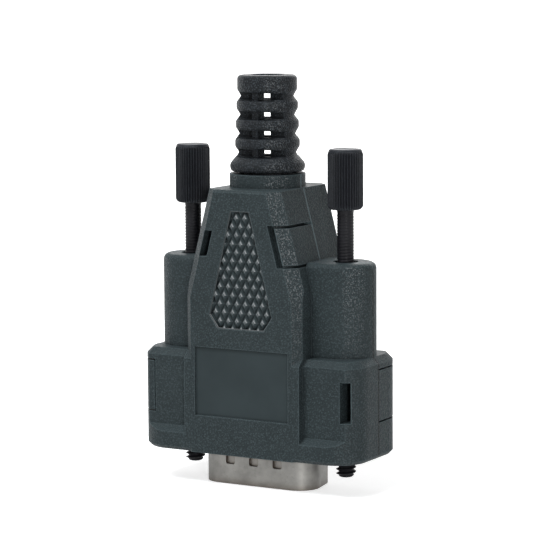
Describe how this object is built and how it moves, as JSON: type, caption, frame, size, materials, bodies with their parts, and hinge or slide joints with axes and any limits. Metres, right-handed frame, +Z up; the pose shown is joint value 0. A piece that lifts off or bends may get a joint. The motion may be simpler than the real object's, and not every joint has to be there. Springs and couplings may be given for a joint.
{
  "type": "d-sub cable hood",
  "caption": "Slate grey snap-together D-sub cable hood with a plug, a black slotted bend relief on top and captive knurled jackscrews in its shoulders.",
  "frame": {"origin": "centre of the plug shell's rim, on the plane the object stands on", "axes": "+Z up towards the cable entry, -Y towards the wide side of the plug and the viewer, +X to the viewer's right along the row of contacts"},
  "size_m": [0.0354, 0.016, 0.0584],
  "materials": {
    "hood_plastic": "fine spark-eroded texture",
    "boot_rubber": "matt moulded",
    "tinned_steel": "tin-plated, satin",
    "insulator": "glass-filled, matt",
    "contact_gold": "gold-plated, smooth",
    "zinc_steel": "zinc-plated",
    "black_steel": "black oxide",
    "knob_plastic": "knurled, matt",
    "spring_steel": "phosphated"
  },
  "bodies": {
    "hood": {"hood_front": "hood_plastic", "hood_rear": "hood_plastic", "bend_relief": "boot_rubber", "plug_shell": "tinned_steel", "rear_shell": "tinned_steel", "front_insulator": "insulator", "rear_insulator": "insulator", "pin_1": "contact_gold", "pin_2": "contact_gold", "pin_3": "contact_gold", "pin_4": "contact_gold", "pin_5": "contact_gold", "pin_6": "contact_gold", "pin_7": "contact_gold", "pin_8": "contact_gold", "pin_9": "contact_gold", "eyelet_left": "tinned_steel", "eyelet_right": "tinned_steel", "clamp_front": "zinc_steel", "clamp_rear": "zinc_steel", "clamp_screw_left": "zinc_steel", "clamp_screw_right": "zinc_steel"},
    "ring_left": {"clip_left": "spring_steel"},
    "ring_right": {"clip_right": "spring_steel"},
    "screw_left": {"jackscrew_left": "black_steel", "knob_left": "knob_plastic"},
    "screw_right": {"jackscrew_right": "black_steel", "knob_right": "knob_plastic"}
  },
  "joints": [
    {"name": "left_slide", "type": "slide", "parent": "hood", "child": "ring_left", "axis": [0, 0, 1], "range_m": [-0.0072, 0]},
    {"name": "left_spin", "type": "hinge", "parent": "ring_left", "child": "screw_left", "pos_m": [-0.01249, 0, 0.0307], "axis": [0, 0, 1], "continuous": true},
    {"name": "right_slide", "type": "slide", "parent": "hood", "child": "ring_right", "axis": [0, 0, 1], "range_m": [-0.0072, 0]},
    {"name": "right_spin", "type": "hinge", "parent": "ring_right", "child": "screw_right", "pos_m": [0.01249, 0, 0.0307], "axis": [0, 0, 1], "continuous": true}
  ]
}
